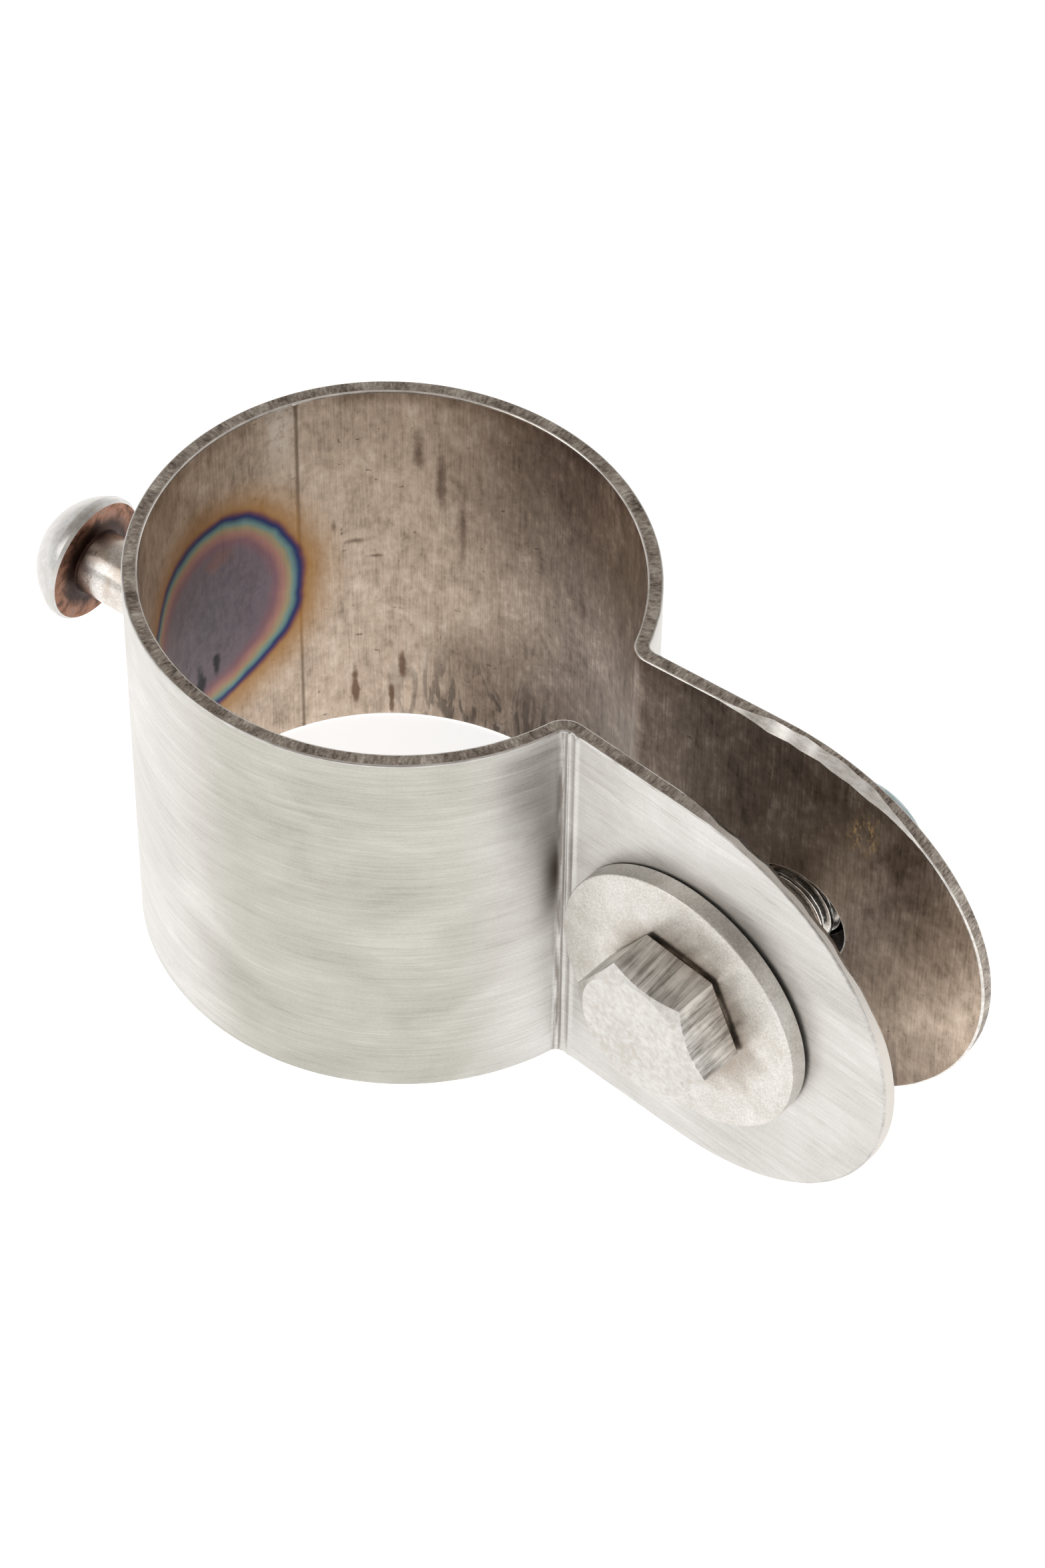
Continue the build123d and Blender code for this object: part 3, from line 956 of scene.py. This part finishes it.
def hardware_finish(name, value, warm, rough_base, lines=(1, 1, 1), size=0.28, contrast=0.18,
                    tint=None, shade_round_bolt=None):
    """Satin stainless with fine grain, soft blots and a few dents; on washers, painted shade round
    the bolt, and on a tinted shank, tinted blots and painted shade next to the stud's head.
    """
    s = Surface(name)
    grain = s.noise(size, 5, lines, rough=0.65)
    blot = s.noise(4.5, 4, warp=0.4)
    dent = s.band(s.noise(1.3, 2, (1, 1, 1), (5, 1, 2)), 0.66, 0.75)
    tone = s.calc("ADD", s.times(grain, 0.65), s.times(blot, 0.35))
    low, high = grey(value * (1 - contrast), warm + 0.03), grey(value * (1 + contrast), warm)
    colour = s.ramp(tone, [(0.40, low), (0.50, grey(value, warm)), (0.60, high)])
    if shade_round_bolt:
        # Painted shade on a washer round the bolt
        colour = s.shaded(near_bolt(s, 9.0, 13.5), colour, shade_round_bolt)
    if tint:
        colour = s.mix(s.times(s.band(blot, 0.42, 0.60), 0.55), colour, tint)
    if tint:
        # Painted shade on the stud's shank next to its head
        beside_head = s.node("SeparateXYZ", {0: s.place}).outputs["X"]
        head_shade = s.band(s.calc("ADD", beside_head, s.times(blot, 4.0)), HEAD_SHADE_END, HEAD_SHADE_FULL)
        colour = s.shaded(head_shade, colour, (0.13, 0.085, 0.07))
    colour = s.mix(s.times(dent, 0.3), colour, grey(value * 0.45, 0.06))
    rough = s.calc("ADD", s.times(grain, 0.22), rough_base)
    height = s.calc("SUBTRACT", grain, s.times(dent, 0.8))
    return s.finish(colour, rough, height, 0.010)


# Where the painted shade on the stud's shank is full and where it ends, along x
HEAD_SHADE_FULL = -(OUTER_RADIUS + SHANK_LENGTH - 2.2)
HEAD_SHADE_END = HEAD_SHADE_FULL + 3.4


def near_bolt(s, full, none):
    """1 within a distance from the bolt's axis, 0 beyond another, uneven between."""
    away = s.vector("MULTIPLY", s.vector("SUBTRACT", s.place, (BOLT_X, 0, BOLT_Z)), (1, 0, 1))
    length = s.node("VectorMath", {0: away}, operation="LENGTH").outputs["Value"]
    wander = s.times(s.calc("SUBTRACT", s.noise(3.0, 4), 0.5), 5.0)
    return s.calc("SUBTRACT", 1.0, s.band(s.calc("ADD", length, wander), full, none))


def heated_finish():
    """Underside of the stud's head: copper-brown oxide with turned rings."""
    s = Surface("stud_underside")
    fine = s.noise(0.5, 5, rough=0.7)
    blot = s.noise(2.6, 4, warp=0.8)
    tone = s.calc("ADD", s.times(fine, 0.4), s.times(blot, 0.6))
    colour = s.ramp(tone, [(0.38, (0.10, 0.05, 0.035)), (0.47, (0.28, 0.135, 0.085)),
                           (0.55, (0.40, 0.21, 0.14)), (0.63, (0.28, 0.19, 0.17))])
    # Painted shade under the stud's head, darkest next to the shank
    away = s.vector("MULTIPLY", s.vector("SUBTRACT", s.place, (0, 0, STUD_Z)), (0, 1, 1))
    length = s.node("VectorMath", {0: away}, operation="LENGTH").outputs["Value"]
    painted_shade = s.calc("SUBTRACT", 1.0, s.band(s.calc("ADD", length, s.times(blot, 2.0)), 6.4, 8.6))
    colour = s.mix(s.times(painted_shade, 0.9), colour, (0.022, 0.014, 0.014))
    return s.finish(colour, s.calc("ADD", s.times(fine, 0.3), 0.24), fine, 0.02)


def weld_finish():
    s = Surface("weld_bead")
    fine = s.noise(0.6, 5, rough=0.7)
    blot = s.noise(2.2, 3, warp=0.6)
    colour = s.ramp(blot, [(0.34, (0.11, 0.12, 0.17)), (0.46, (0.24, 0.17, 0.16)),
                           (0.56, (0.46, 0.31, 0.15)), (0.70, (0.50, 0.45, 0.38))])
    return s.finish(colour, s.calc("ADD", s.times(fine, 0.35), 0.25), fine, 0.03)


def zinc_finish():
    """Blue passivated zinc: cool grey with faint green and violet clouds."""
    s = Surface("zinc_plate", roughness=0.3)
    grain = s.noise(0.3, 4)
    clouds = s.noise(3.2, 4, warp=1.0)
    tone = s.calc("ADD", s.times(grain, 0.25), s.times(clouds, 0.75))
    colour = s.ramp(tone, [(0.38, (0.20, 0.27, 0.28)), (0.47, (0.27, 0.35, 0.36)),
                           (0.55, (0.33, 0.41, 0.42)), (0.64, (0.38, 0.41, 0.46))])
    return s.finish(colour, s.calc("ADD", s.times(grain, 0.2), 0.2), grain, 0.008)


def nylon_finish():
    s = Surface("nylon", metallic=0.0)
    grain = s.noise(0.5, 4)
    colour = s.ramp(grain, [(0.35, (0.62, 0.63, 0.58)), (0.65, (0.78, 0.79, 0.75))])
    return s.finish(colour, s.calc("ADD", s.times(grain, 0.2), 0.4), grain, 0.02)


def floor_finish():
    s = Surface("floor", metallic=0.0)
    grain = s.noise(60.0, 3)
    colour = s.ramp(grain, [(0.3, (0.78, 0.78, 0.78)), (0.7, (0.80, 0.80, 0.80))])
    s.shader.inputs["Specular IOR Level"].default_value = 0.0
    s.shader.inputs["Emission Color"].default_value = (1.0, 1.0, 1.0, 1.0)
    s.shader.inputs["Emission Strength"].default_value = FLOOR_GLOW
    return s.finish(colour, s.calc("ADD", s.times(grain, 0.1), 0.8))


# ---------------------------------------------------------------- studio

def camera():
    """Camera on a sphere round its aim, with a small roll."""
    azimuth, elevation = radians(CAMERA_AZIMUTH), radians(CAMERA_ELEVATION)
    forward = Vector((cos(elevation) * sin(azimuth), cos(elevation) * cos(azimuth), -sin(elevation)))
    level = forward.cross(Vector((0, 0, 1))).normalized()
    lifted = level.cross(forward)
    roll = radians(CAMERA_ROLL)
    right = cos(roll) * level + sin(roll) * lifted
    up = cos(roll) * lifted - sin(roll) * level
    data = bpy.data.cameras.new("camera")
    data.lens = CAMERA_LENS
    data.sensor_width = SENSOR_WIDTH
    data.clip_start = 0.01
    data.clip_end = 20.0
    made = bpy.data.objects.new("camera", data)
    place = (Vector(CAMERA_AIM) - CAMERA_DISTANCE * forward) * MM
    turn = Matrix((right, up, -forward)).transposed().to_4x4()
    made.matrix_world = Matrix.Translation(place) @ turn
    bpy.context.scene.collection.objects.link(made)
    bpy.context.scene.camera = made


def softbox(name, place, size, power):
    """Square area light that faces the clamp."""
    data = bpy.data.lights.new(name, "AREA")
    data.size = size
    data.energy = power
    made = bpy.data.objects.new(name, data)
    aim = Vector((0.02, 0, 0.03))
    made.location = place
    made.rotation_mode = "QUATERNION"
    made.rotation_quaternion = (aim - Vector(place)).to_track_quat("-Z", "Y")
    bpy.context.scene.collection.objects.link(made)


def studio():
    world = bpy.data.worlds.new("studio")
    world.use_nodes = True
    tree = world.node_tree
    heights = tree.nodes.new("ShaderNodeSeparateXYZ")
    tree.links.new(tree.nodes.new("ShaderNodeTexCoord").outputs["Generated"], heights.inputs[0])
    sky = tree.nodes.new("ShaderNodeValToRGB")
    tree.links.new(heights.outputs["Z"], sky.inputs["Fac"])
    sky.color_ramp.interpolation = "EASE"
    sky.color_ramp.elements[0].position = 0.12
    sky.color_ramp.elements[0].color = (*HORIZON, 1)
    sky.color_ramp.elements[1].position = 0.85
    sky.color_ramp.elements[1].color = (*ZENITH, 1)
    background = tree.nodes["Background"]
    tree.links.new(sky.outputs["Color"], background.inputs["Color"])
    bpy.context.scene.world = world
    bpy.context.scene.view_settings.view_transform = "Standard"
    softbox("key", (-0.55, -0.75, 0.75), 0.7, KEY_POWER)
    softbox("top", (0.1, 0.1, 1.2), 0.9, TOP_POWER)
    softbox("fill", (0.9, -0.5, 0.5), 0.6, FILL_POWER)


HORIZON = (0.92, 0.91, 0.90)
ZENITH = (0.36, 0.325, 0.295)
KEY_POWER = 1.6
TOP_POWER = 1.0
FILL_POWER = 0.9
FLOOR_GLOW = 0.80
FLOOR_SIZE = 4000.0


def floor():
    reach = FLOOR_SIZE / 2
    corners = [(-reach, -reach, 0), (reach, -reach, 0), (reach, reach, 0), (-reach, reach, 0)]
    drop = Vector((0, 0, -0.02))
    piece = mesh_piece("floor", [Vector(c) + drop for c in corners], [[0, 1, 2, 3]],
                       [floor_finish()])


# ---------------------------------------------------------------- the clamp

def settle(piece, body, node):
    """The piece stands for a CAD node and moves with its body."""
    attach(piece, body)
    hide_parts(node)
    return piece


def strip():
    """The bent strip in two meshes that meet behind the weld."""
    materials = [outer_finish(), inner_finish(), rim_finish(),
                 worn_finish("strip_outer_edge", 0.52), worn_finish("strip_inner_edge", 0.74)]
    settle(Sheet(FRONT).build("band_front_detail", materials), "clamp_body", "band_front")
    rear = Sheet(REAR).build("band_rear_detail", materials)
    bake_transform(rear)
    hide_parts("band_rear")


def fasteners():
    face = hardware_finish("bolt_head", 0.58, 0.025, 0.18, (1, 24, 1), 0.5, 0.5)
    thread = hardware_finish("bolt_thread", 0.86, 0.03, 0.12)
    end = hardware_finish("bolt_end", 0.585, 0.025, 0.2, size=0.8, contrast=0.14)
    # The washers carry painted shade round the bolt: light brown by the head, near black round the
    # nut
    plate = hardware_finish("washer_face", 0.63, 0.03, 0.22, shade_round_bolt=(0.62, 0.56, 0.51))
    shaded_plate = hardware_finish("washer_rear", 0.63, 0.03, 0.22, shade_round_bolt=(0.10, 0.085, 0.075))
    bolt = hex_bolt([face, thread, end])
    settle(bevelled(bolt, 0.07), "bolt", "hex_bolt")
    settle(washer("front_washer_detail", FRONT_WASHER, 1, plate), "front_washer", "front_washer")
    settle(washer("rear_washer_detail", REAR_WASHER, 1, shaded_plate), "rear_washer", "rear_washer")
    settle(bevelled(lock_nut(zinc_finish()), 0.1), "nut", "lock_nut")
    settle(nut_insert(nylon_finish()), "nut", "nut_insert")


def stud():
    shank = hardware_finish("stud_shank", 0.72, 0.02, 0.10, tint=(0.42, 0.31, 0.22))
    dome = hardware_finish("stud_dome", 0.58, 0.01, 0.16, size=0.9, contrast=0.1)
    settle(mounting_stud([shank, heated_finish(), dome]), "clamp_body", "mounting_stud")
    settle(stud_weld(weld_finish()), "clamp_body", "stud_weld")


def main():
    camera()
    studio()
    floor()
    strip()
    fasteners()
    stud()


main()
